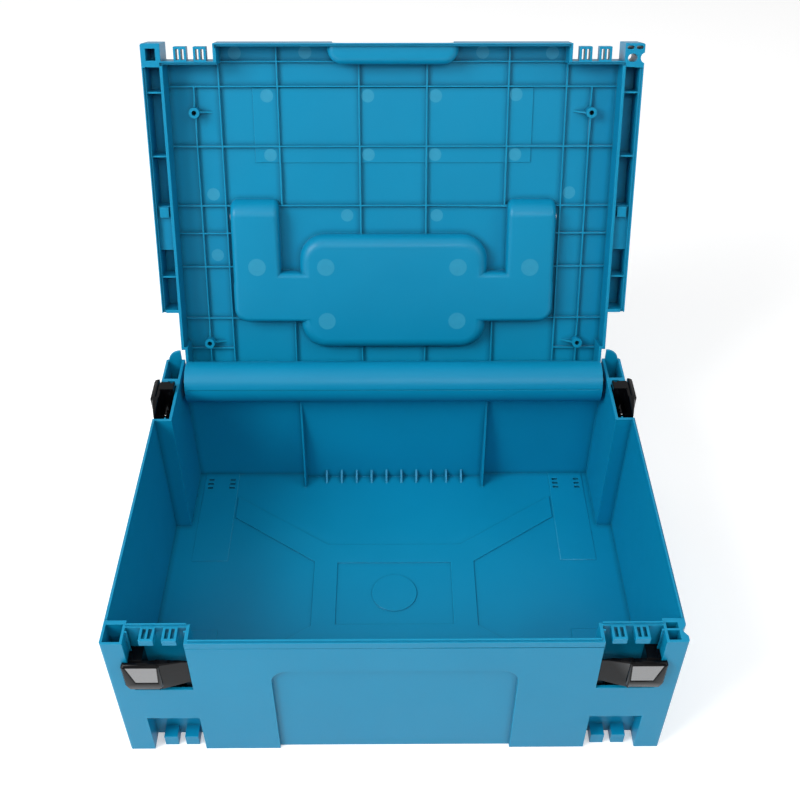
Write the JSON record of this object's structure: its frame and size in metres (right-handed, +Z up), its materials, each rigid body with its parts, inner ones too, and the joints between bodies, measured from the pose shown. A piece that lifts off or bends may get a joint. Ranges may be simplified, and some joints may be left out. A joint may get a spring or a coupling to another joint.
{
  "type": "hard tool case",
  "caption": "Deep stackable hard tool case with a rear-hinged lid that stands open, sliding corner latches and a folding carry handle in the lid.",
  "frame": {"origin": "centre of the footprint at ground level, under the lower shell", "axes": "+X to the right, +Y to the rear (hinge side), +Z up; at rest the lid stands open"},
  "size_m": [0.404, 0.4115, 0.3788],
  "materials": {
    "shell": "satin moulded plastic",
    "latch": "glossy moulded plastic",
    "handle": "fine-textured moulded plastic",
    "pin": "drawn",
    "pin_cap": "satin"
  },
  "bodies": {
    "case": {"lower_shell": "shell", "hinge_pin_left": "pin_cap", "hinge_pin_right": "pin_cap"},
    "lid": {"lid_shell": "shell", "hinge_roll": "shell", "handle_pin_left": "pin", "handle_pin_right": "pin"},
    "latch_front_left": {"front_left_latch": "latch"},
    "latch_front_right": {"front_right_latch": "latch"},
    "latch_side_left": {"side_left_latch": "latch"},
    "latch_side_right": {"side_right_latch": "latch"},
    "handle": {"carry_handle": "handle"}
  },
  "joints": [
    {"name": "lid_hinge", "type": "hinge", "parent": "case", "child": "lid", "pos_m": [0, 0.13, 0.1225], "axis": [1, 0, 0], "range_deg": [0, 110.4]},
    {"name": "front_left_slide", "type": "slide", "parent": "case", "child": "latch_front_left", "axis": [0, 0, 1], "range_m": [0, 0.072]},
    {"name": "front_right_slide", "type": "slide", "parent": "case", "child": "latch_front_right", "axis": [0, 0, 1], "range_m": [0, 0.072]},
    {"name": "side_left_slide", "type": "slide", "parent": "case", "child": "latch_side_left", "axis": [0, 0, 1], "range_m": [-0.025, 0.047]},
    {"name": "side_right_slide", "type": "slide", "parent": "case", "child": "latch_side_right", "axis": [0, 0, 1], "range_m": [-0.025, 0.047]},
    {"name": "handle_fold", "type": "hinge", "parent": "lid", "child": "handle", "pos_m": [0, 0.20341, 0.24243], "axis": [1, 0, 0], "range_deg": [0, 90]}
  ]
}
